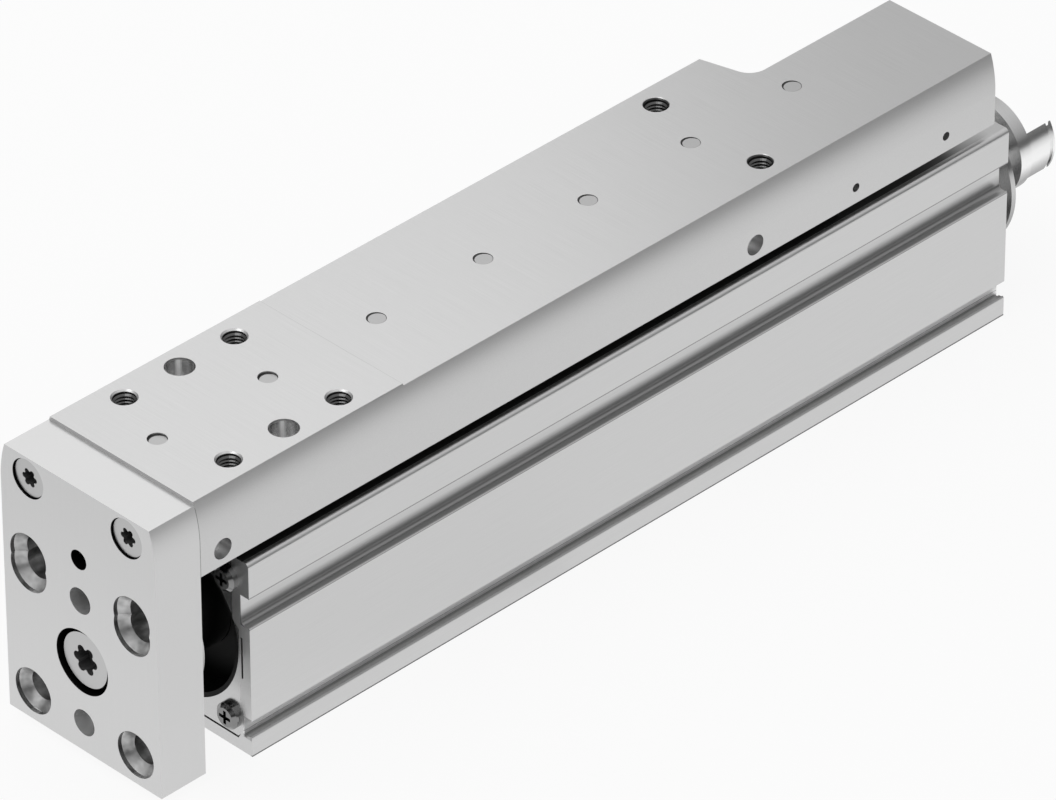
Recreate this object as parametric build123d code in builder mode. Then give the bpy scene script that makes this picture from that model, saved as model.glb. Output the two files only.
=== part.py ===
"""Electric mini slide with a ball screw, a ball rail guide and a yoke plate.

Millimetres. The origin is the middle of the housing's underside, +X points out of the yoke
end, +Y towards the side with the cut-free table edge and +Z up. The slide is retracted.
"""

import math
import os

from build123d import *

os.makedirs("parts", exist_ok=True)

# Driving dimensions of the housing
housing_length = 220.0
housing_width = 45.0
housing_height = 47.3
top_round = 1.15
axis_z = 24.6
chamber_radius = 13.3
channel_half_width = 13.5
channel_rise = 16.4
sensor_slot_z = 4.5
sensor_slot_height = 4.25
sensor_slot_depth = 2.2
side_recess_z = 31.45
side_recess_height = 7.35
side_recess_depth = 2.45
recess_round = 1.2
bead_height = 0.2
slot_relief_width = 0.8
slot_relief_depth = 0.5
slot_lip = 0.35
channel_floor_z = axis_z + channel_rise
half_width = housing_width / 2
front_x = housing_length / 2
rear_x = -front_x

# Driving dimensions of the moving table and its yoke
stroke = 100.0
hole_pitch = 30.0
yoke_gap = 12.5
yoke_thickness = 12.0
yoke_width = 44.54
yoke_bottom_z = 2.5
yoke_step = 0.4
crown_height = 9.0
crown_inset = 1.55
table_length = 228.1
table_gap = 3.3
guide_height = 17.5
deck_thickness = 9.0
pad_length = 57.1
pad_height = 0.4
skirt_thickness = 3.9
notch_length = 45.2
notch_inner_y = 8.36
notch_slant = 3.9
notch_fillet = 4.5
table_bottom_z = housing_height + table_gap
table_underside_z = channel_floor_z + guide_height
table_top_z = table_underside_z + deck_thickness
yoke_back_x = front_x + yoke_gap
yoke_front_x = yoke_back_x + yoke_thickness
table_rear_x = yoke_back_x - table_length
yoke_half = yoke_width / 2
yoke_top_z = table_top_z - yoke_step

# Guide: the rail hangs under the table and runs in two carriages on the housing
rail_width = 12.0
rail_height = 11.0
rail_front_gap = 1.0
rail_end_overhang = 8.75
rail_screw_count = 7
first_rail_screw_x = yoke_back_x - rail_front_gap - rail_end_overhang
rail_bottom_z = table_underside_z - rail_height
rail_front_x = yoke_back_x - rail_front_gap
rail_rear_x = first_rail_screw_x - (rail_screw_count - 1) * hole_pitch - rail_end_overhang
carriage_length = 30.0
carriage_width = 26.0
carriage_table_gap = 3.5
carriage_top_z = table_underside_z - carriage_table_gap
carriage_cap = 3.0
carriage_slot_half = rail_width / 2 + 1.0
carriage_slot_floor = rail_bottom_z - 0.6
carriage_spacing = 38.0
carriage_reach = 2.0
carriage_rear_x = rail_rear_x + stroke + carriage_length / 2 + carriage_reach
carriage_xs = (carriage_rear_x + carriage_spacing, carriage_rear_x)
ball_radius = 1.2
ball_groove_radius = ball_radius + 0.1
ball_y = rail_width / 2 + 0.65
ball_z = rail_bottom_z + 4.8
balls_per_row = 4
ball_pitch = 6.5
carriage_screw_x = 9.0
carriage_screw_y = 10.0
carriage_screw_radius = 1.5
carriage_head_radius = 2.75
carriage_head_height = 2.0
carriage_screw_grip = 3.0
carriage_screw_reach = 5.5
carriage_edge = 1.5
cap_inset = 0.5
cap_gap = 0.3
cap_width = carriage_width - 2 * cap_inset
hole_gap = 0.1
end_margin = 1.0

# Rod, nut and ball screw on the drive axis
rod_radius = 10.0
rod_bore_radius = 6.8
screw_radius = 5.0
journal_radius = 4.0
running_gap = 0.05
nut_radius = 12.9
nut_length = 34.5
nut_spigot_radius = 8.0
nut_spigot_length = 8.0
magnet_seat_radius = 10.5
magnet_width = 4.5
nut_clip_width = 1.0
flange_radius = 15.7
flange_length = 7.0
plug_length = 12.0
flange_rear_x = yoke_back_x - flange_length
support_ring_length = 8.0
screw_front_gap = 18.0
screw_front_x = front_x - screw_front_gap
plug_edge = 0.5

# End covers, let into both ends of the housing
cover_thickness = 12.0
cover_half_width = 19.3
cover_upper_half_width = 17.6
cover_bottom_z = 3.25
cover_step_drop = 1.45
cover_step_z = side_recess_z - cover_step_drop
cover_rail_gap = 1.1
cover_top_z = rail_bottom_z - cover_rail_gap
cover_corner = 0.8
cover_slit = 0.5
side_slit_y = 19.85
side_slit_z = 18.2
side_slit_height = 10.05
cover_screw_y = 16.5
cover_screw_rise = 17.0
cover_screw_radius = 1.5
cover_head_radius = 3.0
cover_head_height = 1.8
opening_radius = 19.1
opening_depth = 7.5
sleeve_radius = chamber_radius - 0.1
front_sleeve_length = 12.0
bush_radius = 11.8
bush_length = 14.0
liner_thickness = 1.0
liner_gap = 0.2
buffer_thickness = 3.0
buffer_gap = 0.3
cover_screw_length = 20.0
cover_screw_bore_depth = 22.0
cover_head_taper = 0.8
cover_head_rim = 1.1
cross_length = 3.2
cross_width = 0.8
cross_depth = 1.2

# Rear bearing seat and motor side, all on the drive axis
bearing_radius = 11.0
bearing_seat_depth = 22.0
bearing_front_x = rear_x + bearing_seat_depth
bearing_length = 14.0
bearing_rear_x = bearing_front_x - bearing_length
nut_rest_gap = 9.5
nut_rear_x = bearing_front_x + nut_rest_gap
nut_front_x = nut_rear_x + nut_length
ring_gap_inner = 6.4
ring_gap_outer = 8.6
bearing_ball_radius = 1.6
bearing_ball_count = 7
bearing_pitch_radius = (ring_gap_inner + ring_gap_outer) / 2
clamp_ring_length = 4.0
bearing_sleeve_front_x = bearing_front_x + clamp_ring_length + 1.0
lock_nut_radius = 6.8
lock_nut_length = 4.5
lock_nut_bore = 8.0
lock_nut_room = 6.0
neck_bore = 5.5
first_neck_radius = 14.0
disc_radius = 18.4
first_neck_length = 6.1
disc_front_x = rear_x - first_neck_length
disc_thickness = 1.3
second_neck_radius = 9.0
collar_radius = 11.3
second_neck_length = 9.45
collar_front_x = disc_front_x - disc_thickness - second_neck_length
collar_thickness = 3.3
collar_wall = 2.0
collar_rear_x = collar_front_x - collar_thickness
tongue_radius = 10.95
tongue_length = 7.6
tongue_flat_y = 9.25
tongue_rear_x = collar_rear_x - tongue_length
tongue_groove_depth = 0.45
tongue_groove_width = 0.9
tongue_lip = 0.6
journal_end_gap = 1.7
journal_rear_x = tongue_rear_x + journal_end_gap
drive_end_radius = 3.5
drive_shoulder_gap = 0.5
journal_edge = 0.5

# Yoke and table holes
yoke_screw_y = 14.2
yoke_screw_drop = 5.1
yoke_screw_z = yoke_top_z - yoke_screw_drop
yoke_counterbore_radius = 4.5
yoke_counterbore_depth = 5.5
yoke_head_radius = 4.25
yoke_head_height = 5.0
yoke_screw_radius = 2.5
yoke_screw_reach = 11.0
load_hole_y = hole_pitch / 2
load_hole_z = (axis_z - hole_pitch / 2, axis_z + hole_pitch / 2)
load_mouth_radius = 5.23
load_mouth_depth = 1.0
load_hole_radius = 3.4
load_cone_depth = load_mouth_radius - load_hole_radius
load_double_rise = 3.1
pin_hole_radius = 3.0
grease_hole_radius = 2.25
grease_hole_rise = 25.0
grease_hole_z = axis_z + grease_hole_rise
rod_screw_bore_radius = 7.5
rod_screw_bore_depth = 7.0
rod_head_radius = 6.3
rod_head_height = 6.1
rod_screw_radius = 4.0
rod_screw_end_gap = 2.0
yoke_screw_gap = 0.25
thread_radius = 2.5
thread_mouth_radius = 2.85
thread_depth = 8.0
front_thread_gap = 14.85
front_thread_x = yoke_back_x - front_thread_gap
front_thread_xs = (front_thread_x, front_thread_x - hole_pitch)
rear_thread_x = front_thread_x - 5 * hole_pitch
centring_x = front_thread_x - hole_pitch / 2
centring_radius = 3.2
centring_depth = 7.0
rail_screw_radius = 2.0
rail_head_radius = 3.4
rail_head_height = 3.0
rail_head_sink = 0.5
rail_screw_sink = 0.05
side_hole_rise = 3.85
side_hole_z = table_bottom_z + side_hole_rise
side_hole_radius = 2.35
side_hole_gap = 6.1
front_side_hole_x = yoke_back_x - side_hole_gap
side_hole_xs = (front_side_hole_x, front_side_hole_x - 5 * hole_pitch)
side_pin_radius = 1.0
rear_pin_gap = 14.9
pin_pitch = 27.2
side_pin_xs = (table_rear_x + rear_pin_gap, table_rear_x + rear_pin_gap + pin_pitch)
side_hole_depth = 3.0
dowel_y = 7.0
dowel_radius = 2.0
dowel_length = 12.0
dowel_gap = 0.5
socket_radius = 2.1
socket_depth = 2.5
rod_socket_radius = 3.4
rod_socket_depth = 3.0
base_thread_x = 2.5 * hole_pitch
base_thread_y = hole_pitch / 2
base_centring_radius = 3.5
base_centring_depth = 1.6

drive_axis = Axis((0, 0, axis_z), (1, 0, 0))


def at_x(x):
    """Sketch plane across the slide at x, with Y to the right and Z up."""
    return Plane.YZ.offset(x)


def at_z(z):
    """Horizontal sketch plane at height z."""
    return Plane.XY.offset(z)


def cut(shape):
    """Take a shape away from the part being built."""
    add(shape, mode=Mode.SUBTRACT)


def finish(part, name):
    """Label the part and write its STEP file."""
    part.part.label = name
    export_step(part.part, "parts/" + name + ".step")


def turned(points):
    """A body of revolution about the drive axis, from (x, radius) corners of one half section."""
    with BuildPart(mode=Mode.PRIVATE) as body:
        with BuildSketch(Plane.XZ):
            with BuildLine():
                Polyline(*[(x, axis_z + radius) for x, radius in points], close=True)
            make_face()
        revolve(axis=drive_axis)
    return body.part


def cylinders(plane, length, places, radius):
    """Cylinders that start on a plane and run along its normal, one at each place on it."""
    with BuildPart(mode=Mode.PRIVATE) as body:
        with BuildSketch(plane):
            with Locations(*places):
                Circle(radius)
        extrude(amount=length)
    return body.part


def cones(plane, length, places, near_radius, far_radius):
    """Cones that start on a plane and run along its normal, one at each place on it."""
    with BuildPart(mode=Mode.PRIVATE) as body:
        for place in places:
            with BuildSketch(plane):
                with Locations(place):
                    Circle(near_radius)
            with BuildSketch(plane.offset(length)):
                with Locations(place):
                    Circle(far_radius)
            loft()
    return body.part


def drill(plane, length, places, radius):
    """Take away cylinders that start on a plane and run along its normal."""
    cut(cylinders(plane, length, places, radius))


def rods(plane, length, places, radius):
    """Add cylinders that start on a plane and run along its normal."""
    add(cylinders(plane, length, places, radius))


def star_socket(x, depth, places, radius):
    """Six-lobed screw sockets cut back from the plane x, one at each (y, z) place."""
    with BuildPart(mode=Mode.PRIVATE) as body:
        with BuildSketch(at_x(x)):
            with Locations(*places):
                Circle(radius * 0.72)
                with PolarLocations(radius * 0.7, 6):
                    Circle(radius * 0.3)
        extrude(amount=-depth)
    return body.part


def cross_socket(x, depth, places, length, width):
    """Cross recesses cut from the plane x by depth along X, one at each (y, z) place."""
    with BuildPart(mode=Mode.PRIVATE) as body:
        with BuildSketch(at_x(x)):
            with Locations(*places):
                Rectangle(length, width)
                Rectangle(width, length)
        extrude(amount=depth)
    return body.part


def cover_outline(clearance):
    """Closed outline of an end cover; the pocket passes a clearance below the bottom edge."""
    low = cover_bottom_z - clearance
    half = [
        (cover_half_width - cover_corner, low),
        (cover_half_width, cover_bottom_z + cover_corner),
        (cover_half_width, cover_step_z),
        (cover_upper_half_width, cover_step_z + cover_half_width - cover_upper_half_width),
        (cover_upper_half_width, cover_top_z),
    ]
    with BuildSketch(mode=Mode.PRIVATE) as outline:
        with BuildLine():
            Polyline(*half, *[(-y, z) for y, z in reversed(half)], close=True)
        make_face()
    return outline.sketch


def corner_at(corners, y, z):
    """The corners of a cross section that lie at (y, z), in the sketch's own axes."""
    return [corner for corner in corners if abs(corner.X - y) + abs(corner.Y - z) < 0.01]


cover_screws = [
    (side * cover_screw_y, axis_z + rise)
    for side in (1, -1)
    for rise in (-cover_screw_rise, cover_screw_rise)
]

# Housing profile: an extrusion with a sensor slot and a recess in each side and a guide channel
profile_half = [
    (0, 0),
    (half_width, 0),
    (half_width, sensor_slot_z),
    (half_width - slot_lip, sensor_slot_z + slot_lip),
    (half_width - 2 * slot_lip, sensor_slot_z),
    (half_width - sensor_slot_depth + slot_relief_width, sensor_slot_z),
    (half_width - sensor_slot_depth + slot_relief_width, sensor_slot_z - slot_relief_depth),
    (half_width - sensor_slot_depth, sensor_slot_z - slot_relief_depth),
    (half_width - sensor_slot_depth, sensor_slot_z + sensor_slot_height),
    (half_width, sensor_slot_z + sensor_slot_height),
    (half_width, side_recess_z),
    (half_width - bead_height, side_recess_z + bead_height),
    (half_width - 2 * bead_height, side_recess_z + bead_height),
    (half_width - 3 * bead_height, side_recess_z),
    (half_width - side_recess_depth, side_recess_z),
    (half_width - side_recess_depth, side_recess_z + side_recess_height),
    (half_width, side_recess_z + side_recess_height),
    (half_width, housing_height),
    (channel_half_width, housing_height),
    (channel_half_width, channel_floor_z),
    (0, channel_floor_z),
]
carriage_screws_xy = [
    (centre + along * carriage_screw_x, side * carriage_screw_y)
    for centre in carriage_xs
    for along in (-1, 1)
    for side in (-1, 1)
]
carriage_head_z = channel_floor_z - carriage_screw_grip - carriage_head_height
with BuildPart() as housing_profile:
    with BuildSketch(at_x(rear_x)):
        with BuildLine():
            Polyline(*profile_half, close=True)
        make_face()
        outer_y = (half_width, half_width - side_recess_depth)
        fillet(corner_at(vertices(), outer_y[0], housing_height), radius=top_round)
        fillet(corner_at(vertices(), outer_y[1], side_recess_z), radius=recess_round)
        mirror(about=Plane.YZ)
        with Locations((0, axis_z)):
            Circle(chamber_radius, mode=Mode.SUBTRACT)
    extrude(amount=housing_length)
    for end, direction in ((front_x, -1), (rear_x, 1)):
        # Pocket of the end cover with the slit beside it
        with BuildSketch(at_x(end)):
            add(cover_outline(cover_slit))
            with BuildSketch(mode=Mode.ADD):
                with Locations((0, (side_recess_z + housing_height + end_margin) / 2)):
                    Rectangle(2 * cover_upper_half_width, housing_height + end_margin - side_recess_z)
                slit_y = side_slit_y + cover_slit / 2
                slit_z = side_slit_z + side_slit_height / 2
                with Locations((-slit_y, slit_z), (slit_y, slit_z)):
                    Rectangle(cover_slit, side_slit_height)
        extrude(amount=direction * cover_thickness, mode=Mode.SUBTRACT)
    drill(at_x(front_x - cover_screw_bore_depth), cover_screw_bore_depth, cover_screws, cover_screw_radius)
    drill(at_x(rear_x), cover_screw_bore_depth, cover_screws, cover_screw_radius)
    # Pockets and holes of the carriage screws, reached from the chamber
    drill(
        at_z(axis_z),
        carriage_head_z + carriage_head_height - axis_z,
        carriage_screws_xy,
        carriage_head_radius + 2 * hole_gap,
    )
    drill(
        at_z(carriage_head_z),
        channel_floor_z - carriage_head_z,
        carriage_screws_xy,
        carriage_screw_radius + hole_gap,
    )
    # Mounting threads and centring bores in the underside
    base_places = [(x * base_thread_x, y * base_thread_y) for x in (-1, 1) for y in (-1, 1)]
    drill(Plane.XY, thread_depth, base_places, thread_radius)
    drill(Plane.XY, base_centring_depth, [(-base_thread_x, 0), (base_thread_x, 0)], base_centring_radius)
finish(housing_profile, "housing_profile")

# Front cover: the rod comes out through its round opening, bush and wiper sit in its sleeve
front_cover_rear = front_x - cover_thickness
front_sleeve_rear = front_cover_rear - front_sleeve_length
with BuildPart() as front_cover:
    with BuildSketch(at_x(front_cover_rear)):
        add(cover_outline(0))
    extrude(amount=cover_thickness)
    rods(at_x(front_sleeve_rear), front_sleeve_length, [(0, axis_z)], sleeve_radius)
    cut(turned([
        (front_sleeve_rear, 0),
        (front_sleeve_rear, bush_radius),
        (front_x - opening_depth, bush_radius),
        (front_x - opening_depth, opening_radius),
        (front_x, opening_radius),
        (front_x, 0),
    ]))
    drill(at_x(front_cover_rear), cover_thickness, cover_screws, cover_screw_radius)
finish(front_cover, "front_cover")

# Pan-head screws of both end covers
head_top_radius = cover_head_radius - cover_head_taper
head_crown = cover_head_height - cover_head_rim
with BuildPart() as front_cover_screws:
    rods(at_x(front_x - cover_screw_length), cover_screw_length, cover_screws, cover_screw_radius)
    rods(at_x(front_x), cover_head_rim, cover_screws, cover_head_radius)
    crown_x = front_x + cover_head_rim
    add(cones(at_x(crown_x), head_crown, cover_screws, cover_head_radius, head_top_radius))
    cut(cross_socket(front_x + cover_head_height, -cross_depth, cover_screws, cross_length, cross_width))
finish(front_cover_screws, "front_cover_screws")

with BuildPart() as rear_cover_screws:
    rods(at_x(rear_x), cover_screw_length, cover_screws, cover_screw_radius)
    rods(at_x(rear_x - cover_head_rim), cover_head_rim, cover_screws, cover_head_radius)
    crown_x = rear_x - cover_head_height
    add(cones(at_x(crown_x), head_crown, cover_screws, head_top_radius, cover_head_radius))
    cut(cross_socket(crown_x, cross_depth, cover_screws, cross_length, cross_width))
finish(rear_cover_screws, "rear_cover_screws")

# Plain bush that carries the rod, and the wiper that also lines the opening in front of it
bush_rear = front_sleeve_rear
with BuildPart() as rod_bush:
    bush_bore = rod_radius + running_gap
    add(turned([
        (bush_rear, bush_bore),
        (bush_rear, bush_radius),
        (bush_rear + bush_length, bush_radius),
        (bush_rear + bush_length, bush_bore),
    ]))
finish(rod_bush, "rod_bush")

wiper_rear = bush_rear + bush_length
with BuildPart() as rod_wiper:
    floor_x = front_x - opening_depth
    add(turned([
        (wiper_rear, rod_radius + hole_gap),
        (wiper_rear, bush_radius),
        (floor_x, bush_radius),
        (floor_x, opening_radius),
        (front_x - liner_gap, opening_radius),
        (front_x - liner_gap, opening_radius - liner_thickness),
        (floor_x + liner_thickness, opening_radius - liner_thickness),
        (floor_x + liner_thickness, rod_radius + hole_gap),
    ]))
finish(rod_wiper, "rod_wiper")

# Elastomer buffers for the nut's end positions
for name, rear in (
    ("front_buffer", front_sleeve_rear - buffer_thickness),
    ("rear_buffer", bearing_sleeve_front_x),
):
    with BuildPart() as buffer:
        add(turned([
            (rear, rod_radius + 2 * buffer_gap),
            (rear, sleeve_radius - buffer_gap),
            (rear + buffer_thickness, sleeve_radius - buffer_gap),
            (rear + buffer_thickness, rod_radius + 2 * buffer_gap),
        ]))
    finish(buffer, name)

# Guide carriages with plastic end caps, balls and fixing screws
carriage_half = [
    (0, channel_floor_z),
    (carriage_width / 2, channel_floor_z),
    (carriage_width / 2, carriage_top_z - carriage_edge),
    (carriage_width / 2 - carriage_edge, carriage_top_z),
    (carriage_slot_half, carriage_top_z),
    (carriage_slot_half, carriage_slot_floor),
    (0, carriage_slot_floor),
]
for name, centre in zip(("guide_carriage_front", "guide_carriage_rear"), carriage_xs):
    places = [place for place in carriage_screws_xy if abs(place[0] - centre) < carriage_length / 2]
    with BuildPart() as carriage:
        with BuildSketch(at_x(centre - carriage_length / 2)):
            with BuildLine():
                Polyline(*carriage_half, close=True)
            make_face()
            mirror(about=Plane.YZ)
            with Locations((ball_y, ball_z), (-ball_y, ball_z)):
                Circle(ball_groove_radius, mode=Mode.SUBTRACT)
        extrude(amount=carriage_length)
        drill(at_z(channel_floor_z), carriage_screw_reach + cap_inset, places, carriage_screw_radius)
    finish(carriage, name)

with BuildPart() as carriage_end_caps:
    for centre in carriage_xs:
        for start in (centre - carriage_length / 2 - carriage_cap, centre + carriage_length / 2):
            with BuildSketch(at_x(start)):
                with Locations((0, (channel_floor_z + carriage_top_z) / 2)):
                    Rectangle(cap_width, carriage_top_z - channel_floor_z - 2 * cap_gap)
                slot_height = carriage_top_z - rail_bottom_z + end_margin
                with Locations((0, rail_bottom_z - cap_gap + slot_height / 2)):
                    Rectangle(rail_width + 2 * cap_gap, slot_height, mode=Mode.SUBTRACT)
            extrude(amount=carriage_cap)
finish(carriage_end_caps, "carriage_end_caps")

with BuildPart() as guide_balls:
    for centre in carriage_xs:
        for step in range(balls_per_row):
            ball_x = centre + (step - (balls_per_row - 1) / 2) * ball_pitch
            with Locations((ball_x, -ball_y, ball_z), (ball_x, ball_y, ball_z)):
                Sphere(ball_radius)
finish(guide_balls, "guide_balls")

with BuildPart() as carriage_screws:
    rods(at_z(carriage_head_z), carriage_head_height, carriage_screws_xy, carriage_head_radius)
    rods(
        at_z(carriage_head_z),
        channel_floor_z + carriage_screw_reach - carriage_head_z,
        carriage_screws_xy,
        carriage_screw_radius,
    )
finish(carriage_screws, "carriage_screws")

# Bearing housing: rear cover, bearing seat, necks, disc, collar and the two side tongues
rear_cover_front = rear_x + cover_thickness
with BuildPart() as bearing_housing:
    with BuildSketch(at_x(rear_x)):
        add(cover_outline(0))
    extrude(amount=cover_thickness)
    add(turned([
        (bearing_sleeve_front_x, 0),
        (bearing_sleeve_front_x, sleeve_radius),
        (rear_cover_front, sleeve_radius),
        (rear_x, sleeve_radius),
        (rear_x, first_neck_radius),
        (disc_front_x, first_neck_radius),
        (disc_front_x, disc_radius),
        (disc_front_x - disc_thickness, disc_radius),
        (disc_front_x - disc_thickness, second_neck_radius),
        (collar_front_x, second_neck_radius),
        (collar_front_x, collar_radius),
        (collar_rear_x, collar_radius),
        (collar_rear_x, tongue_radius),
        (tongue_rear_x + tongue_lip + tongue_groove_width, tongue_radius),
        (tongue_rear_x + tongue_lip + tongue_groove_width, tongue_radius - tongue_groove_depth),
        (tongue_rear_x + tongue_lip, tongue_radius - tongue_groove_depth),
        (tongue_rear_x + tongue_lip, tongue_radius),
        (tongue_rear_x, tongue_radius),
        (tongue_rear_x, 0),
    ]))
    # Bore: bearing seat, room for the lock nut, journal passage and coupling room
    cut(turned([
        (bearing_sleeve_front_x, 0),
        (bearing_sleeve_front_x, bearing_radius),
        (bearing_rear_x, bearing_radius),
        (bearing_rear_x, lock_nut_bore),
        (bearing_rear_x - lock_nut_room, lock_nut_bore),
        (bearing_rear_x - lock_nut_room, neck_bore),
        (collar_front_x - collar_wall, neck_bore),
        (collar_front_x - collar_wall, tongue_flat_y),
        (tongue_rear_x, tongue_flat_y),
        (tongue_rear_x, 0),
    ]))
    # Window through top and bottom that leaves a tongue on each side
    with BuildSketch(at_x(tongue_rear_x)):
        with Locations((0, axis_z)):
            Rectangle(2 * tongue_flat_y, 2 * (tongue_radius + end_margin))
    extrude(amount=tongue_length, mode=Mode.SUBTRACT)
    drill(at_x(rear_x), cover_thickness, cover_screws, cover_screw_radius)
finish(bearing_housing, "bearing_housing")

# Paired angular contact bearing: outer rings, inner rings and balls
ring_width = bearing_length / 2
ring_middles = (bearing_rear_x + ring_width / 2, bearing_front_x - ring_width / 2)
with BuildPart() as bearing_outer_rings:
    add(turned([
        (bearing_rear_x, ring_gap_outer),
        (bearing_rear_x, bearing_radius),
        (bearing_front_x, bearing_radius),
        (bearing_front_x, ring_gap_outer),
    ]))
    for middle in ring_middles:
        with BuildSketch(Plane.XZ):
            with Locations((middle, axis_z + bearing_pitch_radius)):
                Circle(bearing_ball_radius + running_gap)
        revolve(axis=drive_axis, mode=Mode.SUBTRACT)
finish(bearing_outer_rings, "bearing_outer_rings")

with BuildPart() as bearing_inner_rings:
    add(turned([
        (bearing_rear_x, journal_radius),
        (bearing_rear_x, ring_gap_inner),
        (bearing_front_x, ring_gap_inner),
        (bearing_front_x, journal_radius),
    ]))
    for middle in ring_middles:
        with BuildSketch(Plane.XZ):
            with Locations((middle, axis_z + bearing_pitch_radius)):
                Circle(bearing_ball_radius + running_gap)
        revolve(axis=drive_axis, mode=Mode.SUBTRACT)
finish(bearing_inner_rings, "bearing_inner_rings")

with BuildPart() as bearing_balls:
    for middle in ring_middles:
        for step in range(bearing_ball_count):
            angle = 2 * math.pi * step / bearing_ball_count
            y = bearing_pitch_radius * math.cos(angle)
            z = axis_z + bearing_pitch_radius * math.sin(angle)
            with Locations((middle, y, z)):
                Sphere(bearing_ball_radius)
finish(bearing_balls, "bearing_balls")

# Threaded ring that clamps the outer rings in their seat
with BuildPart() as bearing_clamp_ring:
    add(turned([
        (bearing_front_x, ring_gap_outer),
        (bearing_front_x, bearing_radius),
        (bearing_front_x + clamp_ring_length, bearing_radius),
        (bearing_front_x + clamp_ring_length, ring_gap_outer),
    ]))
finish(bearing_clamp_ring, "bearing_clamp_ring")

# Ball screw with its drive journal, lock nut and the support ring that runs in the rod
with BuildPart() as spindle:
    add(turned([
        (journal_rear_x, 0),
        (journal_rear_x, drive_end_radius - journal_edge),
        (journal_rear_x + journal_edge, drive_end_radius),
        (collar_front_x - collar_wall - drive_shoulder_gap, drive_end_radius),
        (collar_front_x - collar_wall - drive_shoulder_gap, journal_radius),
        (bearing_front_x, journal_radius),
        (bearing_front_x, screw_radius),
        (screw_front_x - support_ring_length, screw_radius),
        (screw_front_x - support_ring_length, journal_radius),
        (screw_front_x, journal_radius),
        (screw_front_x, 0),
    ]))
finish(spindle, "spindle")

with BuildPart() as spindle_lock_nut:
    add(turned([
        (bearing_rear_x - lock_nut_length, journal_radius),
        (bearing_rear_x - lock_nut_length, lock_nut_radius),
        (bearing_rear_x, lock_nut_radius),
        (bearing_rear_x, journal_radius),
    ]))
finish(spindle_lock_nut, "spindle_lock_nut")

with BuildPart() as spindle_support_ring:
    add(turned([
        (screw_front_x - support_ring_length, journal_radius),
        (screw_front_x - support_ring_length, rod_bore_radius - running_gap),
        (screw_front_x, rod_bore_radius - running_gap),
        (screw_front_x, journal_radius),
    ]))
finish(spindle_support_ring, "spindle_support_ring")

# Nut with magnet ring and clip, rod tube and the flanged plug that joins the rod to the yoke
with BuildPart() as spindle_nut:
    nut_bore = screw_radius + running_gap
    magnet_front = nut_rear_x + nut_clip_width + magnet_width
    add(turned([
        (nut_rear_x, nut_bore),
        (nut_rear_x, magnet_seat_radius),
        (magnet_front, magnet_seat_radius),
        (magnet_front, nut_radius),
        (nut_front_x, nut_radius),
        (nut_front_x, nut_spigot_radius),
        (nut_front_x + nut_spigot_length, nut_spigot_radius),
        (nut_front_x + nut_spigot_length, nut_bore),
    ]))
finish(spindle_nut, "spindle_nut")

with BuildPart() as magnet_ring:
    add(turned([
        (nut_rear_x + nut_clip_width, magnet_seat_radius),
        (nut_rear_x + nut_clip_width, nut_radius - hole_gap),
        (magnet_front, nut_radius - hole_gap),
        (magnet_front, magnet_seat_radius),
    ]))
finish(magnet_ring, "magnet_ring")

with BuildPart() as magnet_clip:
    add(turned([
        (nut_rear_x, magnet_seat_radius),
        (nut_rear_x, nut_radius - 8 * hole_gap),
        (nut_rear_x + nut_clip_width, nut_radius - 8 * hole_gap),
        (nut_rear_x + nut_clip_width, magnet_seat_radius),
    ]))
finish(magnet_clip, "magnet_clip")

with BuildPart() as piston_rod:
    add(turned([
        (nut_front_x, nut_spigot_radius),
        (nut_front_x, rod_radius),
        (flange_rear_x, rod_radius),
        (flange_rear_x, rod_bore_radius),
        (nut_front_x + nut_spigot_length, rod_bore_radius),
        (nut_front_x + nut_spigot_length, nut_spigot_radius),
    ]))
finish(piston_rod, "piston_rod")

with BuildPart() as rod_flange:
    add(turned([
        (flange_rear_x - plug_length, rod_screw_radius),
        (flange_rear_x - plug_length, rod_bore_radius),
        (flange_rear_x, rod_bore_radius),
        (flange_rear_x, flange_radius - plug_edge),
        (flange_rear_x + plug_edge, flange_radius),
        (yoke_back_x, flange_radius),
        (yoke_back_x, rod_screw_radius),
    ]))
finish(rod_flange, "rod_flange")

# Yoke plate with a crowned outline and the load interface on its front face
load_hole_rows = (load_hole_z[0], load_hole_z[1], load_hole_z[1] + load_double_rise)
load_holes = [(side * load_hole_y, z) for side in (-1, 1) for z in load_hole_rows]
yoke_screws_yz = [(-yoke_screw_y, yoke_screw_z), (yoke_screw_y, yoke_screw_z)]
rod_place = [(0, axis_z)]


def crown_radius(rise, inset):
    """Radius of an arc that starts vertical and ends rise higher and inset further in."""
    return (rise**2 + inset**2) / (2 * inset)


def crown_point(rise, height):
    """Inset of the crown arc at a height above its start."""
    radius = crown_radius(crown_height, crown_inset)
    return radius - math.sqrt(radius**2 - height**2)


def crowned_outline(bottom_z, top_z):
    """Closed outline with vertical sides below and the crown arc on both sides above."""
    start_z = table_top_z - crown_height
    middle_z = (start_z + top_z) / 2
    top_y = yoke_half - crown_point(crown_height, top_z - start_z)
    middle_y = yoke_half - crown_point(crown_height, middle_z - start_z)
    with BuildSketch(mode=Mode.PRIVATE) as outline:
        with BuildLine():
            Polyline(
                (-yoke_half, start_z),
                (-yoke_half, bottom_z),
                (yoke_half, bottom_z),
                (yoke_half, start_z),
            )
            ThreePointArc((yoke_half, start_z), (middle_y, middle_z), (top_y, top_z))
            Line((top_y, top_z), (-top_y, top_z))
            ThreePointArc((-top_y, top_z), (-middle_y, middle_z), (-yoke_half, start_z))
        make_face()
    return outline.sketch


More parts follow.
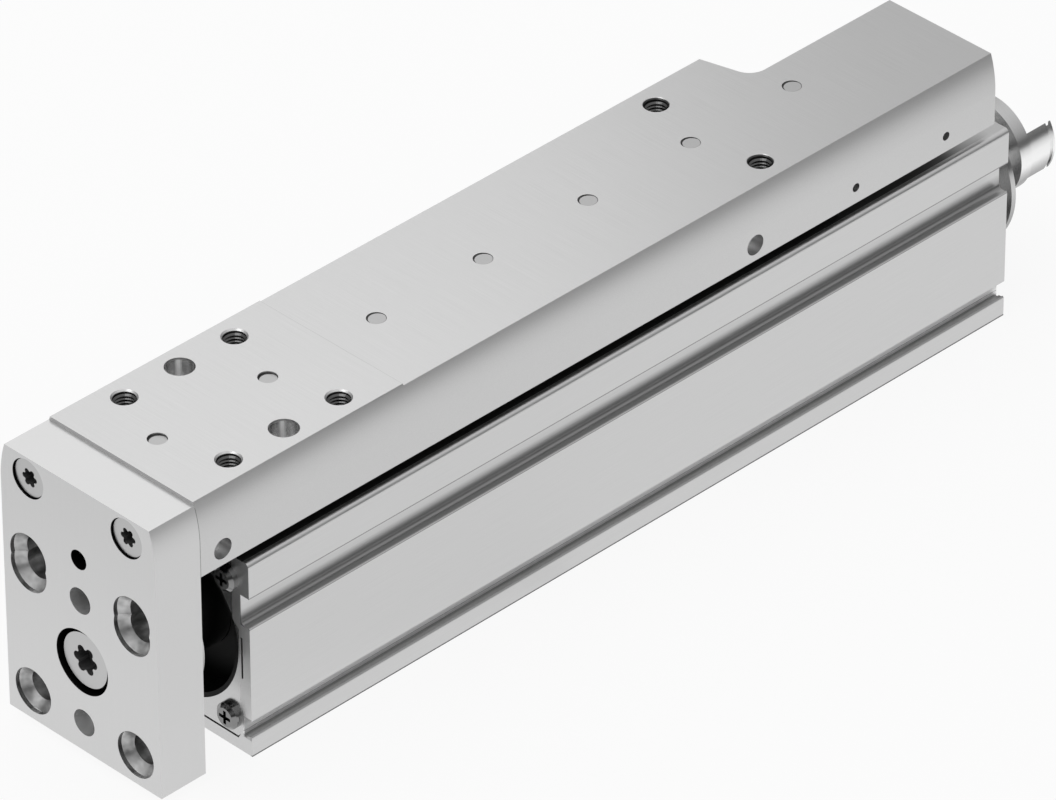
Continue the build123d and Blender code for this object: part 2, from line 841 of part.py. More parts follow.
with BuildPart() as yoke_plate:
    with BuildSketch(at_x(yoke_back_x)):
        add(crowned_outline(yoke_bottom_z, yoke_top_z))
    extrude(amount=yoke_thickness)
    drill(at_x(yoke_back_x), yoke_thickness, load_holes, load_hole_radius)
    drill(at_x(yoke_front_x - load_mouth_depth), load_mouth_depth, load_holes, load_mouth_radius)
    cut(cones(
        at_x(yoke_front_x - load_mouth_depth - load_cone_depth),
        load_cone_depth,
        load_holes,
        load_hole_radius,
        load_mouth_radius,
    ))
    drill(at_x(yoke_back_x), yoke_thickness, [(0, load_hole_z[0]), (0, load_hole_z[1])], pin_hole_radius)
    drill(at_x(yoke_back_x), yoke_thickness, [(0, grease_hole_z)], grease_hole_radius)
    drill(at_x(yoke_back_x), yoke_thickness, yoke_screws_yz, yoke_screw_radius + yoke_screw_gap)
    drill(
        at_x(yoke_front_x - yoke_counterbore_depth),
        yoke_counterbore_depth,
        yoke_screws_yz,
        yoke_counterbore_radius,
    )
    drill(at_x(yoke_back_x), yoke_thickness, rod_place, rod_screw_radius + yoke_screw_gap)
    drill(
        at_x(yoke_front_x - rod_screw_bore_depth), rod_screw_bore_depth, rod_place, rod_screw_bore_radius
    )
    dowels_yz = [(-dowel_y, yoke_screw_z), (dowel_y, yoke_screw_z)]
    drill(at_x(yoke_back_x), dowel_length / 2, dowels_yz, dowel_radius)
finish(yoke_plate, "yoke_plate")

with BuildPart() as yoke_screws:
    yoke_seat_x = yoke_front_x - yoke_counterbore_depth
    rods(
        at_x(yoke_back_x - yoke_screw_reach),
        yoke_seat_x - yoke_back_x + yoke_screw_reach,
        yoke_screws_yz,
        yoke_screw_radius,
    )
    rods(at_x(yoke_seat_x), yoke_head_height, yoke_screws_yz, yoke_head_radius)
    cut(star_socket(yoke_seat_x + yoke_head_height, socket_depth, yoke_screws_yz, socket_radius))
finish(yoke_screws, "yoke_screws")

with BuildPart() as rod_screw:
    rod_seat_x = yoke_front_x - rod_screw_bore_depth
    screw_rear = flange_rear_x - plug_length + rod_screw_end_gap
    rods(at_x(screw_rear), rod_seat_x - screw_rear, rod_place, rod_screw_radius)
    rods(at_x(rod_seat_x), rod_head_height, rod_place, rod_head_radius)
    cut(star_socket(rod_seat_x + rod_head_height, rod_socket_depth, rod_place, rod_socket_radius))
finish(rod_screw, "rod_screw")

with BuildPart() as yoke_dowels:
    rods(at_x(yoke_back_x - dowel_length / 2), dowel_length - dowel_gap, dowels_yz, dowel_radius)
finish(yoke_dowels, "yoke_dowels")

# Slide table: crowned deck with side skirts, front pad and the notch in its rear left corner
rail_screws_xy = [(first_rail_screw_x - step * hole_pitch, 0) for step in range(rail_screw_count)]
side_y = (-hole_pitch / 2, hole_pitch / 2)
table_threads = [(x, y) for x in (*front_thread_xs, rear_thread_x) for y in side_y]
table_centrings = [(centring_x, y) for y in side_y]
with BuildPart() as slide_table:
    for start, length, top_z in (
        (table_rear_x, table_length, table_top_z),
        (yoke_back_x, -pad_length, table_top_z + pad_height),
    ):
        with BuildSketch(at_x(start)):
            add(crowned_outline(table_bottom_z, top_z))
            with Locations((0, (table_bottom_z + table_underside_z) / 2)):
                Rectangle(
                    yoke_width - 2 * skirt_thickness,
                    table_underside_z - table_bottom_z,
                    mode=Mode.SUBTRACT,
                )
        extrude(amount=length)
    notch_front_x = table_rear_x + notch_length
    with BuildSketch(at_z(table_bottom_z)):
        with BuildLine():
            Polyline(
                (table_rear_x - end_margin, -yoke_half - end_margin),
                (notch_front_x, -yoke_half - end_margin),
                (notch_front_x - notch_slant, -notch_inner_y),
                (table_rear_x - end_margin, -notch_inner_y),
                close=True,
            )
        make_face()
        corner = Vector(notch_front_x - notch_slant, -notch_inner_y)
        inner_corner = [v for v in vertices() if abs(v.X - corner.X) < 0.1 and abs(v.Y - corner.Y) < 0.1]
        fillet(inner_corner, radius=notch_fillet)
    extrude(amount=table_top_z + end_margin - table_bottom_z, mode=Mode.SUBTRACT)
    deck = table_top_z + pad_height
    mouth_depth = thread_mouth_radius - thread_radius
    for xs, mouth_z in ((front_thread_xs, deck), ((rear_thread_x,), table_top_z)):
        mouths = [(x, y) for x in xs for y in side_y]
        cut(cones(at_z(mouth_z - mouth_depth), mouth_depth, mouths, thread_radius, thread_mouth_radius))
    drill(
        at_z(table_top_z - thread_depth), deck - table_top_z + thread_depth, table_threads, thread_radius
    )
    drill(
        at_z(table_top_z + pad_height - centring_depth), centring_depth, table_centrings, centring_radius
    )
    drill(at_z(table_underside_z), deck - table_underside_z, rail_screws_xy, rail_screw_radius + hole_gap)
    for xs, radius in ((side_hole_xs, side_hole_radius), (side_pin_xs, side_pin_radius)):
        with BuildSketch(Plane.XZ.offset(-yoke_half)):
            with Locations(*[(x, side_hole_z) for x in xs]):
                Circle(radius)
        extrude(amount=side_hole_depth, mode=Mode.SUBTRACT)
    drill(at_x(yoke_back_x - yoke_screw_reach), yoke_screw_reach, yoke_screws_yz, yoke_screw_radius)
    drill(at_x(yoke_back_x - dowel_length / 2), dowel_length / 2, dowels_yz, dowel_radius)
finish(slide_table, "slide_table")

# Guide rail with ball grooves, fixed from below by screws whose ends show in the deck
with BuildPart() as guide_rail:
    with BuildSketch(at_x(rail_rear_x)):
        with Locations((0, (rail_bottom_z + table_underside_z) / 2)):
            Rectangle(rail_width, rail_height)
        with Locations((ball_y, ball_z), (-ball_y, ball_z)):
            Circle(ball_groove_radius, mode=Mode.SUBTRACT)
    extrude(amount=rail_front_x - rail_rear_x)
    drill(at_z(rail_bottom_z), rail_height, rail_screws_xy, rail_screw_radius + hole_gap)
    rail_bore_depth = rail_head_height + rail_head_sink
    drill(at_z(rail_bottom_z), rail_bore_depth, rail_screws_xy, rail_head_radius + hole_gap)
finish(guide_rail, "guide_rail")

with BuildPart() as rail_screws:
    rail_seat_z = rail_bottom_z + rail_bore_depth
    rods(at_z(rail_bottom_z + rail_head_sink), rail_head_height, rail_screws_xy, rail_head_radius)
    rods(at_z(rail_seat_z), table_top_z - rail_screw_sink - rail_seat_z, rail_screws_xy, rail_screw_radius)
finish(rail_screws, "rail_screws")
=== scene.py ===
"""Looks of the electric mini slide: finishes, threads and a plain studio."""

import math

import bpy
from mathutils import Matrix, Vector


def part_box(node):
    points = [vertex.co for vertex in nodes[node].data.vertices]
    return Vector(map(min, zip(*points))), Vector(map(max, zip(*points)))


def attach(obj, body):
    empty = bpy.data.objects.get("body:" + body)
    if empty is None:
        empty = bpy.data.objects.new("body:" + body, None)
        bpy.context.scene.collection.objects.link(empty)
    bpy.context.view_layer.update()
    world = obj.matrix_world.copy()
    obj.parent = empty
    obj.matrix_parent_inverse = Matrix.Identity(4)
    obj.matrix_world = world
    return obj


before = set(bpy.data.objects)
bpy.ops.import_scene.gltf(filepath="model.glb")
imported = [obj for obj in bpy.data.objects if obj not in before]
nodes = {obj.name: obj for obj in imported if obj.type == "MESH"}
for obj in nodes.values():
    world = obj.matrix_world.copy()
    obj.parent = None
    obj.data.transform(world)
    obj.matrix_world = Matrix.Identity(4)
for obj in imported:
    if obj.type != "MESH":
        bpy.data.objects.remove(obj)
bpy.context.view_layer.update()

# Housing: extruded aluminium profile, clear anodised with a satin surface. The drawing
# marks run along the slide, so the grain of its finish is long in X and fine across it.
MM = 0.001


class Field:
    """A value that changes over a surface, written in ordinary arithmetic."""

    def __init__(self, finish, socket):
        self.finish = finish
        self.socket = socket

    def output(self, name):
        """Another output of the node that this value comes from."""
        return Field(self.finish, self.socket.node.outputs[name])

    def maths(self, operation, *others):
        return self.finish.maths(operation, self, *others)

    def __add__(self, other):
        return self.maths("ADD", other)

    def __sub__(self, other):
        return self.maths("SUBTRACT", other)

    def __rsub__(self, other):
        return self.finish.maths("SUBTRACT", other, self)

    def __mul__(self, other):
        return self.maths("MULTIPLY", other)

    def __lt__(self, other):
        return self.maths("LESS_THAN", other)

    def __gt__(self, other):
        return self.maths("GREATER_THAN", other)

    def __abs__(self):
        return self.maths("ABSOLUTE")

    __radd__ = __add__
    __rmul__ = __mul__


def grey(value):
    return (value, value, value, 1.0)


class Finish:
    """The nodes of one material, or of the world round the slide."""

    def __init__(self, name, kind="materials"):
        self.owner = getattr(bpy.data, kind).new(name)
        self.owner.use_nodes = True
        self.tree = self.owner.node_tree
        self.tree.nodes.clear()

    def node(self, kind, settings=None, values=None, output=0):
        """A node of this kind: its settings first, then its sockets' values or links."""
        made = self.tree.nodes.new(kind)
        for key, value in (settings or {}).items():
            if key == "stops":
                self.set_stops(made.color_ramp.elements, value)
            else:
                setattr(made, key, value)
        for key, value in (values or {}).items():
            if isinstance(value, Field):
                self.tree.links.new(value.socket, made.inputs[key])
            else:
                made.inputs[key].default_value = value
        return Field(self, made.outputs[output]) if made.outputs else None

    def set_stops(self, elements, stops):
        """Put greys on a ramp, whose own two ends take the first and the last of them."""
        for position, level in stops[1:-1]:
            elements.new(position).color = grey(level)
        elements[0].color = grey(stops[0][1])
        elements[-1].color = grey(stops[-1][1])

    def maths(self, operation, *values):
        return self.node("ShaderNodeMath", {"operation": operation}, dict(enumerate(values)))

    def place(self):
        """The surface point in the slide's own frame, in metres."""
        return self.node("ShaderNodeTexCoord", output="Object")

    def split(self, vector):
        """X, Y and Z of a vector as three separate values."""
        parts = self.node("ShaderNodeSeparateXYZ", values={"Vector": vector})
        return [parts.output(axis) for axis in ("X", "Y", "Z")]

    def noise(self, vector, scale):
        values = {"Vector": vector, "Scale": scale, "Detail": 2.0}
        return self.node("ShaderNodeTexNoise", values=values)

    def mix_colour(self, factor, first, second):
        values = {"Factor": factor, 6: first, 7: second}
        return self.node("ShaderNodeMix", {"data_type": "RGBA"}, values, output=2)

    def surface(self, **values):
        """Principled surface; a keyword's underscores stand for spaces."""
        named = {key.replace("_", " "): value for key, value in values.items()}
        shader = self.node("ShaderNodeBsdfPrincipled", values=named)
        self.node("ShaderNodeOutputMaterial", values={"Surface": shader})
        return self.owner


def between(value, low, high):
    """1 where value lies between two limits."""
    return value.maths("COMPARE", (low + high) / 2, (high - low) / 2)


def fade(value, start, end):
    """Rises evenly from 0 at start to 1 at end, and stays there."""
    limits = {"Value": value, "From Min": start, "From Max": end}
    return value.finish.node("ShaderNodeMapRange", {"clamp": True}, limits)


def satin_aluminium(name, stretch, shade=0.64, roughness=0.33, relief=0.08, zones=()):
    """Aluminium with a stretched grain; stretch holds grains per metre along X, Y and Z.

    A zone is a function that gives 1 where another finish starts, such as a hole's wall,
    with that finish's darkest and lightest grey, its roughness and how metallic it is."""
    # Most zones given here are painted light and shade, such as darker hole walls and bright
    # bands.
    wear_scale = 9.0
    mottle_scale = 300.0
    mottle_dark = 1 / 3
    mottle_light = 2 / 3
    grain_share = 0.05
    wear_share = 0.04
    grey_spread = 0.4 * relief
    grain_depth = 0.2 * MM
    finish = Finish(name)
    place = finish.place()
    stretched = finish.node(
        "ShaderNodeVectorMath", {"operation": "MULTIPLY"}, {0: place, 1: stretch}
    )
    grain = finish.noise(stretched, 1.0)
    wear = finish.noise(place, wear_scale)
    mottle = fade(finish.noise(place, mottle_scale), mottle_dark, mottle_light)
    colour = finish.mix_colour(grain, grey(shade - grey_spread), grey(shade + grey_spread))
    rough = roughness - wear_share + grain_share * grain + wear_share * wear
    metallic = 0.95
    point = finish.split(place)
    for zone, darkest, lightest, zone_roughness, zone_metallic in zones:
        inside = zone(*point)
        tone = finish.mix_colour(mottle, grey(darkest), grey(lightest))
        colour = finish.mix_colour(inside, colour, tone)
        rough = rough + inside * (zone_roughness - rough)
        metallic = metallic + inside * (zone_metallic - metallic)
    bump_values = {"Strength": relief, "Distance": grain_depth, "Height": grain}
    bump = finish.node("ShaderNodeBump", values=bump_values)
    return finish.surface(Base_Color=colour, Metallic=metallic, Roughness=rough, Normal=bump)


def dress(material, *names):
    """Give CAD nodes one material in all their slots."""
    for name in names:
        mesh = nodes[name].data
        mesh.materials.clear()
        mesh.materials.append(material)


profile_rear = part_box("housing_profile")[0][0]
profile_skin = 22.42 * MM
edge_line = 0.24 * MM
edge_line_start = 22.2 * MM
foot_height = 0.3 * MM
recess_bottom = 31.45 * MM
recess_top = 38.80 * MM
recess_back = 19.9 * MM
shadow_height = 3.6 * MM
full_shadow_height = 0.8 * MM
ledge_margin = 0.01 * MM
corner_outside = 21.3 * MM
corner_inside = 20.8 * MM
open_shade = 0.4
corner_shade = 0.4
slot_bottom = 3.8 * MM
slot_top = 9.0 * MM
slot_back = 20.0 * MM
slot_middle = 21.3 * MM
slot_dark_z = 7.4 * MM
slot_light_z = 5.6 * MM
groove_bottom = 5.3 * MM
groove_top = 5.5 * MM
groove_mouth = 20.6 * MM
relief_top = 4.6 * MM
relief_mouth = 21.95 * MM
rim_z = 47.2 * MM
rim_half_width = 20.8 * MM
rim_light_end = profile_rear + 4 * MM
rim_dark_start = profile_rear + 18 * MM


def recess_edge_shade(x, y, z):
    """Painted shade: dark lines on the side face, above and below the recess."""
    upper = between(z, recess_top, recess_top + edge_line)
    lower = between(z, recess_bottom - edge_line, recess_bottom)
    return (upper + lower) * (abs(y) > edge_line_start)


# Painted shade: a dark line along the foot of the side faces.
def foot_edge_shade(x, y, z):
    return (z < foot_height) * (abs(y) > edge_line_start)


def recess_shadow(x, y, z):
    """The recess grows darker towards its ledge, where less of the room is reflected."""
    rise = z - recess_bottom
    low = fade(rise, shadow_height, full_shadow_height) * (rise > -ledge_margin)
    corner = fade(abs(y), corner_outside, corner_inside)
    inside = between(abs(y), recess_back, profile_skin)
    return low * inside * (open_shade + corner_shade * corner)


# Painted shade: the slot's walls are darker than the side face; this also bounds the slot's
# other zones.
def slot_walls(x, y, z):
    return between(z, slot_bottom, slot_top) * between(abs(y), slot_back, profile_skin)


def slot_depth(x, y, z):
    """The slot's back wall, which takes more light towards its foot."""
    return slot_walls(x, y, z) * (abs(y) < slot_middle) * fade(z, slot_dark_z, slot_light_z)


def slot_groove_shade(x, y, z):
    """Painted shade: a dark line along a fine groove on the slot's back wall, and a darker
    relief at its foot.
    """
    groove = between(z, groove_bottom, groove_top) * (abs(y) < groove_mouth)
    relief = (z < relief_top) * (abs(y) < relief_mouth)
    return slot_walls(x, y, z) * (groove + relief)


def covered_rim_shade(x, y, z):
    """Painted shade on the top of the profile that lies under the table, lighter at its open
    end.
    """
    return fade(x, rim_light_end, rim_dark_start) * (z > rim_z) * (abs(y) < rim_half_width)


along_slide = (60.0, 5200.0, 5200.0)
# All these zones are painted light and shade: dark lines at the recess's edges and at the foot,
# a darker recess and slot, a lighter band low in the slot with dark lines in it, and a dark rim
# under the table.
profile_zones = (
    (recess_edge_shade, 0.28, 0.28, 0.3, 0.95),
    (foot_edge_shade, 0.12, 0.12, 0.3, 0.95),
    (recess_shadow, 0.2, 0.2, 0.3, 0.95),
    (slot_walls, 0.42, 0.42, 0.5, 0.85),
    (slot_depth, 0.95, 0.95, 0.5, 0.8),
    (slot_groove_shade, 0.5, 0.5, 0.4, 0.8),
    (covered_rim_shade, 0.16, 0.16, 0.3, 0.95),
)
dress(satin_aluminium("satin_profile", along_slide, zones=profile_zones), "housing_profile")

# Front cover and rear bearing housing: turned and milled aluminium, clear anodised. They are
# let into the profile's ends, and fine turning marks run round the rear one's steps.
drive_z = 24.6 * MM
margin = 0.05 * MM
steps_shade = 0.8
steps_light_z = drive_z + 2 * MM
steps_dark_z = drive_z - 10 * MM
tongue_start = profile_rear - 16.9 * MM
glow_z = drive_z + 0.6 * MM
glow_reach = 6 * MM
glow_core = 1 * MM
tongue_shade = 0.7
tongue_light_z = drive_z - 1 * MM
tongue_dark_z = drive_z - 7 * MM


def steps_shadow(x, y, z):
    """The round steps behind the profile are darker on their lower half."""
    behind = x < profile_rear - margin
    return steps_shade * behind * fade(z, steps_light_z, steps_dark_z)


def tongue_glow(x, y, z):
    """The bright band along the tongue that faces the side, where the room is lightest."""
    return (x < tongue_start) * fade(abs(z - glow_z), glow_reach, glow_core)


# Painted shade: the tongue grows darker towards its lower edge.
def tongue_foot_shade(x, y, z):
    return tongue_shade * (x < tongue_start) * fade(z, tongue_light_z, tongue_dark_z)


round_drive = (1500.0, 40.0, 40.0)
# These zones are painted light and shade on the rear steps: a darker lower half, a bright band
# along the tongue and a darker foot on the tongue.
cover_zones = (
    (steps_shadow, 0.12, 0.12, 0.22, 0.95),
    (tongue_glow, 0.95, 0.95, 0.22, 0.95),
    (tongue_foot_shade, 0.12, 0.12, 0.22, 0.95),
)
cover_finish = satin_aluminium(
    "milled_covers", round_drive, shade=0.60, roughness=0.2, relief=0.04, zones=cover_zones
)
dress(cover_finish, "front_cover", "bearing_housing")

# Slide table: one milled aluminium plate with crowned sides and a ground deck. Its grain runs
# across the deck, which is how the cutter passed over it.
deck_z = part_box("slide_table")[1][2]
yoke_low, yoke_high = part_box("yoke_plate")
yoke_back = yoke_low[0]
hole_pitch = 30 * MM
half_pitch = hole_pitch / 2
first_thread_x = yoke_back - 14.85 * MM
centring_x = first_thread_x - half_pitch
pad_rise = 0.4 * MM
pad_end = yoke_back - 57.1 * MM
pad_line = 0.2 * MM
pad_line_share = 0.35
joint_line = 0.16 * MM
joint_start = 21.0 * MM
table_bore = 3.3 * MM
table_thread = 3.0 * MM
streak_shift = 0.6 * MM
streak_reach = 1.2 * MM
streak_core = 0.3 * MM
deck_underside = 58.5 * MM
skirt_inside = 18.5 * MM


def round_hole(first, second, centre, radius):
    """1 within a radius of a hole's axis, on both sides of the slide's middle."""
    off = abs(first) - centre[0]
    rise = second - centre[1]
    return off * off + rise * rise < radius**2


def table_seam(x, y, z):
    """The joint to the yoke on the sides, and the faint step behind the raised pad."""
    joint = (x > yoke_back - joint_line) * (abs(y) > joint_start)
    on_deck = z > deck_z - pad_rise - margin
    step = between(x, pad_end - pad_line / 2, pad_end + pad_line / 2) * on_deck
    return joint + pad_line_share * step


def deck_holes(x, y, z, steps, radius):
    """Walls of deck holes, which lie so many hole pitches behind the first thread."""
    below = z < deck_z - pad_rise - 2 * margin
    places = [(half_pitch, first_thread_x - step * hole_pitch) for step in steps]
    return below * sum(round_hole(y, x, place, radius) for place in places)


def table_bores(x, y, z):
    return deck_holes(x, y, z, (0.5,), table_bore)


def bore_highlights(x, y, z):
    """Painted highlight: the bright upright streak on each centring bore's wall."""
    across = (y - half_pitch).maths("WRAP", half_pitch, -half_pitch)
    off = across - (x - centring_x) + streak_shift
    return fade(abs(off), streak_reach, streak_core) * table_bores(x, y, z)


# Painted shade: the walls of the table's threaded holes are nearly black.
def thread_hole_shade(x, y, z):
    return deck_holes(x, y, z, (0, 1, 5), table_thread)


def table_underside(x, y, z):
    """The hollow under the deck, which lies in shadow."""
    return (z < deck_underside + 2 * margin) * (abs(y) < skirt_inside)


across_slide = (5200.0, 60.0, 5200.0)
table_zones = (
    (table_seam, 0.25, 0.25, 0.3, 0.95),
    (table_bores, 0.55, 0.85, 0.16, 0.95),
    (bore_highlights, 0.9, 0.95, 0.3, 0.1),
    (thread_hole_shade, 0.05, 0.08, 0.3, 0.95),
    (table_underside, 0.04, 0.04, 0.5, 0.95),
)
table_finish = satin_aluminium(
    "ground_table", across_slide, shade=0.62, relief=0.1, zones=table_zones
)
dress(table_finish, "slide_table")

# Yoke plate: milled from aluminium bar, with its grain upright on the front face. Its holes are
# bored and show their walls in painted shade, mottled darker than the faces; deep gaps round the
# screw heads stay black as painted shade, and the pin bores are painted lighter, as if lit
# inside.
yoke_edge = 2.0 * MM
pin_bore = 3.1 * MM
yoke_screw = (14.2 * MM, yoke_high[2] - 5.1 * MM)
screw_recess = 4.6 * MM
rod_recess = 7.6 * MM
grease_place = (0.0, drive_z + 25 * MM)
grease_bore = 2.4 * MM


def yoke_walls(x, y, z):
    """The walls of its holes: between the two faces, and away from the four outer sides."""
    deep = (x < yoke_high[0] - margin) * (x > yoke_back + margin)
    inner = deep * (abs(y) < yoke_high[1] - yoke_edge)
    return inner * (z > yoke_low[2] + yoke_edge) * (z < yoke_high[2] - 2 * margin)


# Painted light: the pin bores are lighter than the faces, as if lit inside.
def lit_pin_bores(x, y, z):
    lower = round_hole(y, z, (0.0, drive_z - half_pitch), pin_bore)
    upper = round_hole(y, z, (0.0, drive_z + half_pitch), pin_bore)
    return yoke_walls(x, y, z) * (lower + upper)


def dark_gaps(x, y, z):
    """The gaps round the screw heads and the deep grease hole, from which no light comes."""
    grease = round_hole(y, z, grease_place, grease_bore)
    corners = round_hole(y, z, yoke_screw, screw_recess)
    rod = round_hole(y, z, (0.0, drive_z), rod_recess)
    return yoke_walls(x, y, z) * (grease + corners + rod)


upright = (40.0, 4000.0, 40.0)
# Zones: painted shade on the hole walls, painted light in the pin bores and black painted shade
# in the deep gaps.
yoke_zones = (
    (yoke_walls, 0.26, 0.62, 0.3, 0.95),
    (lit_pin_bores, 0.8, 0.95, 0.36, 0.9),
    (dark_gaps, 0.01, 0.01, 0.5, 0.95),
)
yoke_finish = satin_aluminium("milled_yoke", upright, shade=0.66, relief=0.03, zones=yoke_zones)
dress(yoke_finish, "yoke_plate")

# Threads of the table and the base: tapped holes with a fine cut groove. Each is one coil with a
# sharp ridge that stands in from the drilled core. The coil is painted dark grey, as shade
# inside the hole, and so are the table's thread walls, so it is dark between its turns.
cut_thread_in_shade = Finish("cut_thread_in_shade").surface(Base_Color=grey(0.1), Metallic=0.95, Roughness=0.2)
thread_pitch = 0.8 * MM
thread_core = 2.5 * MM
thread_ridge = 0.42 * MM
thread_seat = 0.02 * MM
thread_foot = 0.46 * thread_pitch
thread_crest = 0.06 * thread_pitch
thread_run = 7.0 * MM
turn_steps = 32
mouth = 0.35 * MM
base_thread_x = 2.5 * hole_pitch


def coil(name, centre, direction, body):
    """Thread ridge that winds from a hole's mouth into the hole, up or down."""
    profile = (
        (thread_core - thread_seat, -thread_foot),
        (thread_core - thread_ridge, -thread_crest),
        (thread_core - thread_ridge, thread_crest),
        (thread_core - thread_seat, thread_foot),
    )
    corners = len(profile)
    points = []
    faces = []
    for step in range(int(thread_run / thread_pitch * turn_steps) + 1):
        angle = 2 * math.pi * step / turn_steps
        depth = thread_pitch * (step / turn_steps + 0.5)
        for radius, along in profile:
            points.append((
                centre[0] + radius * math.cos(angle),
                centre[1] + radius * math.sin(angle),
                centre[2] + direction * (depth + along),
            ))
        if step:
            new = len(points) - corners
            old = new - corners
            for k in range(corners):
                after = (k + 1) % corners
                faces.append((old + k, old + after, new + after, new + k))
    last = len(points) - corners
    faces.append(tuple(range(corners))[::-1])
    faces.append(tuple(last + k for k in range(corners)))
    mesh = bpy.data.meshes.new(name)
    mesh.from_pydata(points, [], faces)
    mesh.update()
    mesh.materials.append(cut_thread_in_shade)
    piece = bpy.data.objects.new(name, mesh)
    bpy.context.scene.collection.objects.link(piece)
    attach(piece, body)


sides = (("left", -half_pitch), ("right", half_pitch))
table_thread_places = (
    (first_thread_x, deck_z),
    (first_thread_x - hole_pitch, deck_z),
    (first_thread_x - 5 * hole_pitch, deck_z - pad_rise),
)
for row, (x, top) in enumerate(table_thread_places):
    for side, y in sides:
        coil(f"table_thread_{row}_{side}", (x, y, top - mouth), -1, "table")
for end, x in (("rear", -base_thread_x), ("front", base_thread_x)):
    for side, y in sides:
        coil(f"base_thread_{end}_{side}", (x, y, mouth / 2), 1, "housing")

# Cap and pan-head screws: zinc-plated steel, bright on the cap heads and with painted shade in
# the socket. The socket's painted shade is set by the distance from each screw's own axis. The
# pan heads' dark grey is painted shade as well.
socket_start = 0.15 * MM
yoke_socket = 2.3 * MM
rod_socket = 3.7 * MM


def socketed_steel(node, name, centre, socket_radius):
    """Dress a node's screws in bright steel, with painted shade in the sockets at centre (y, z).
    """
    finish = Finish(name)
    x, y, z = finish.split(finish.place())
    in_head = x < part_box(node)[1][0] - socket_start
    inside = round_hole(y, z, centre, socket_radius) * in_head
    colour = finish.mix_colour(inside, grey(0.52), grey(0.12))
    metallic = 1.0 - 0.3 * inside
    roughness = 0.3 + 0.25 * inside
    dress(finish.surface(Base_Color=colour, Metallic=metallic, Roughness=roughness), node)


socketed_steel("yoke_screws", "six_lobe_steel", yoke_screw, yoke_socket)
socketed_steel("rod_screw", "rod_screw_steel", (0.0, drive_z), rod_socket)
# The pan-head screws' dark grey is painted shade; the plated steel itself is lighter.
plated = Finish("plated_steel_in_shade").surface(Base_Color=grey(0.24), Metallic=1.0, Roughness=0.13)
dress(plated, "front_cover_screws", "rear_cover_screws", "carriage_screws")

# Rail screws: seven steel screws that hold the rail from below. Their ends lie just under the
# deck, with the hole's shadow on one side of each.
screw_end_radius = 2.0 * MM
screw_head_radius = 3.4 * MM
shadow_shift = 0.42 * MM
last_screw_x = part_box("rail_screws")[0][0] + screw_head_radius
end_finish = Finish("screw_end")
end_x, end_y = end_finish.split(end_finish.place())[:2]
along = (end_x - last_screw_x).maths("WRAP", half_pitch, -half_pitch)
across = end_y - shadow_shift
in_shadow = along * along + across * across > screw_end_radius**2
end_colour = end_finish.mix_colour(in_shadow, grey(0.50), grey(0.04))
dress(end_finish.surface(Base_Color=end_colour, Metallic=0.8, Roughness=0.42), "rail_screws")

# Ball rail guide: hardened and ground steel rail and carriages, black moulded end caps and
# polished balls, in the shadow between table and housing; the rail and carriages are painted
# dark grey as shade in that gap.
# The drive's plastic rings, its bearing and the yoke's dowels have the same finishes.
shaded_ground_steel = Finish("shaded_ground_steel").surface(Base_Color=grey(0.14), Metallic=1.0, Roughness=0.3)
dress(shaded_ground_steel, "guide_rail", "guide_carriage_front", "guide_carriage_rear")
black_plastic = Finish("black_plastic").surface(Base_Color=grey(0.02), Roughness=0.5)
dress(black_plastic, "carriage_end_caps", "spindle_support_ring", "rod_bush", "magnet_ring")
polished = Finish("polished_steel").surface(Base_Color=grey(0.72), Metallic=1.0, Roughness=0.12)
dress(polished, "guide_balls", "yoke_dowels")
dress(polished, "bearing_balls", "bearing_outer_rings", "bearing_inner_rings")

# Drive: ground steel spindle, nut and rod, with rubber wiper and buffers. Only the flange
# behind the yoke and the mouth of the front opening can be seen from outside.
drive_steel = Finish("drive_steel").surface(Base_Color=grey(0.60), Metallic=1.0, Roughness=0.25)
dress(drive_steel, "spindle", "spindle_nut", "spindle_lock_nut", "piston_rod", "rod_flange")
dress(drive_steel, "bearing_clamp_ring", "magnet_clip")
# Black rubber; its near-black grey and weak specular level also make it painted shade in the
# front opening, which the wiper lines.
rubber = Finish("rubber").surface(Base_Color=grey(0.004), Roughness=0.5, Specular_IOR_Level=0.12)
dress(rubber, "rod_wiper", "front_buffer", "rear_buffer")

# Floor: a pale plane just under the slide, which camera and reflections see as white. Further
# out it is dim in reflections, so that the slide's sides show their form.
floor_size = 6.0
floor_drop = 0.2 * MM
glow_share = 0.9
dim_start = 0.16
dim_end = 0.75
bpy.ops.mesh.primitive_plane_add(size=floor_size, location=(0, 0, -floor_drop))
floor = bpy.context.object
floor.name = "floor"
ground = Finish("floor_white")
camera_sees = ground.node("ShaderNodeLightPath", output="Is Camera Ray")
metal_sees = camera_sees.output("Is Glossy Ray")
glass_sees = camera_sees.output("Is Transmission Ray")
matte = ground.node("ShaderNodeBsdfDiffuse", values={"Color": grey(0.75)})
glow = ground.node("ShaderNodeEmission", values={"Color": grey(1.0), "Strength": 1.0})
dim = ground.node("ShaderNodeEmission", values={"Color": grey(0.12), "Strength": 1.0})
distance = ground.node(
    "ShaderNodeVectorMath", {"operation": "LENGTH"}, {0: ground.place()}, output="Value"
)
lit_share = glow_share * (camera_sees + metal_sees + glass_sees)
lit_floor = ground.node("ShaderNodeMixShader", values={0: lit_share, 1: matte, 2: glow})
dim_share = metal_sees * fade(distance, dim_start, dim_end)
whole_floor = ground.node("ShaderNodeMixShader", values={0: dim_share, 1: lit_floor, 2: dim})
ground.node("ShaderNodeOutputMaterial", values={"Surface": whole_floor})
floor.data.materials.append(ground.owner)

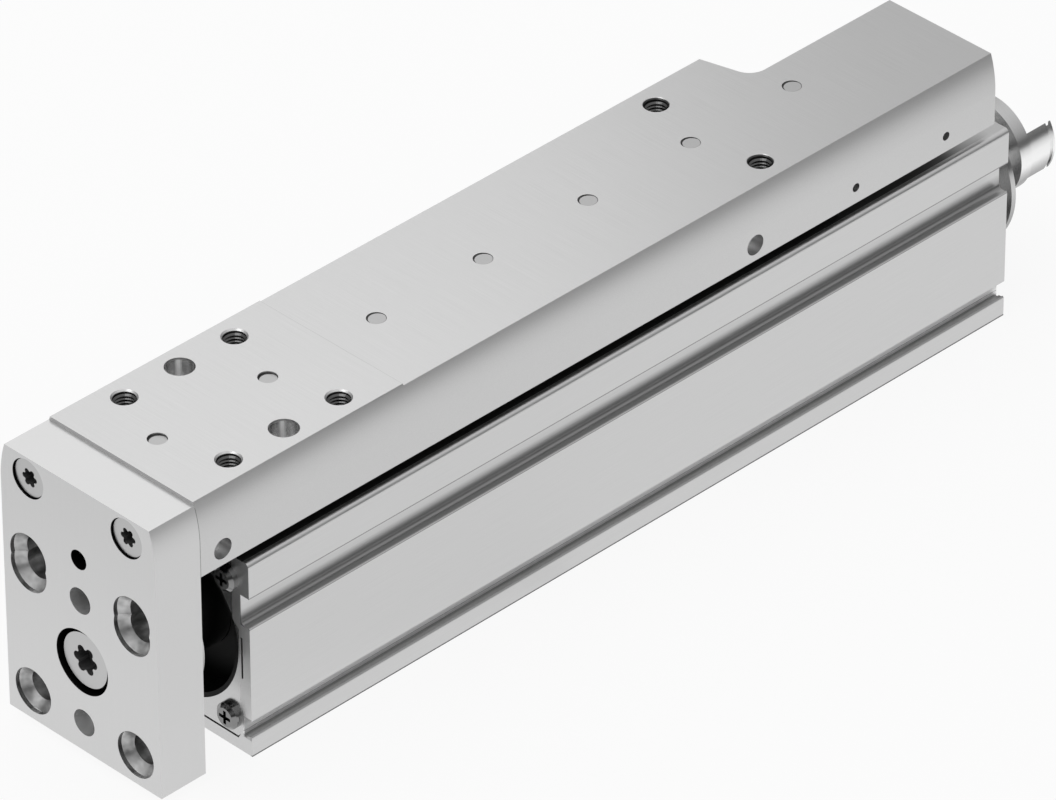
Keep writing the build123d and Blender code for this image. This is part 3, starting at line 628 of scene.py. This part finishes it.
# Studio walls and lamps: white to the camera, and in reflections grey from straight below at 0,
# over the horizon at 0.5, to straight above at 1, so that curved metal shows its form.
wall_greys = (
    (0.0, 0.5),
    (0.46, 0.2),
    (0.50, 0.08),
    (0.57, 0.10),
    (0.68, 0.50),
    (0.85, 0.74),
    (1.0, 1.0),
)
walls = Finish("studio", "worlds")
bpy.context.scene.world = walls.owner
height = walls.split(walls.node("ShaderNodeTexCoord", output="Generated"))[2]
gradient = walls.node("ShaderNodeValToRGB", {"stops": wall_greys}, {0: 0.5 * height + 0.5})
camera_ray = walls.node("ShaderNodeLightPath", output="Is Camera Ray")
seen = walls.mix_colour(camera_ray, gradient, grey(1.0))
background = walls.node("ShaderNodeBackground", values={"Color": seen, "Strength": 1.0})
walls.node("ShaderNodeOutputWorld", values={"Surface": background})


def soft_lamp(name, size, watts, place, target):
    """Large square lamp that faces a target."""
    lamp = bpy.data.lights.new(name, "AREA")
    lamp.size = size
    lamp.energy = watts
    holder = bpy.data.objects.new(name, lamp)
    holder.location = place
    facing = Vector(target) - Vector(place)
    holder.rotation_euler = facing.to_track_quat("-Z", "Y").to_euler()
    bpy.context.scene.collection.objects.link(holder)


slide_middle = (0.0, 0.0, 0.04)
deck_front = (0.1, 0.0, 0.06)
soft_lamp("key_lamp", size=0.9, watts=5.0, place=(0.9, -0.2, 1.5), target=slide_middle)
soft_lamp("side_lamp", size=1.2, watts=3.0, place=(0.3, 1.6, 0.9), target=slide_middle)
soft_lamp("deck_lamp", size=0.35, watts=0.22, place=(-0.12, -0.30, 0.42), target=deck_front)

# Camera: the photograph's own place and lens, found from the slide's edges and hole grid.
view_azimuth = math.radians(45.2427)
view_elevation = math.radians(35.0112)
view_roll = math.radians(-0.1524)
view_distance = 1.92049
view_target = Vector((0.05226, 0.04259, 0.06830))
focal_pixels = 9714.0
photo_width = 1056
back = Vector((
    math.cos(view_azimuth) * math.cos(view_elevation),
    math.sin(view_azimuth) * math.cos(view_elevation),
    math.sin(view_elevation),
))
right = Vector((-math.sin(view_azimuth), math.cos(view_azimuth), 0.0))
up = back.cross(right)
turned_right = math.cos(view_roll) * right + math.sin(view_roll) * up
turned_up = math.cos(view_roll) * up - math.sin(view_roll) * right
camera = bpy.data.objects.new("camera", bpy.data.cameras.new("camera"))
camera.data.sensor_width = 36.0
camera.data.lens = focal_pixels / photo_width * camera.data.sensor_width
camera.data.clip_start = 0.01
camera.data.clip_end = 50.0
axes = Matrix((turned_right, turned_up, back)).transposed().to_4x4()
camera.matrix_world = Matrix.Translation(view_target + view_distance * back) @ axes
bpy.context.scene.collection.objects.link(camera)
bpy.context.scene.camera = camera
bpy.context.scene.view_settings.view_transform = "Standard"
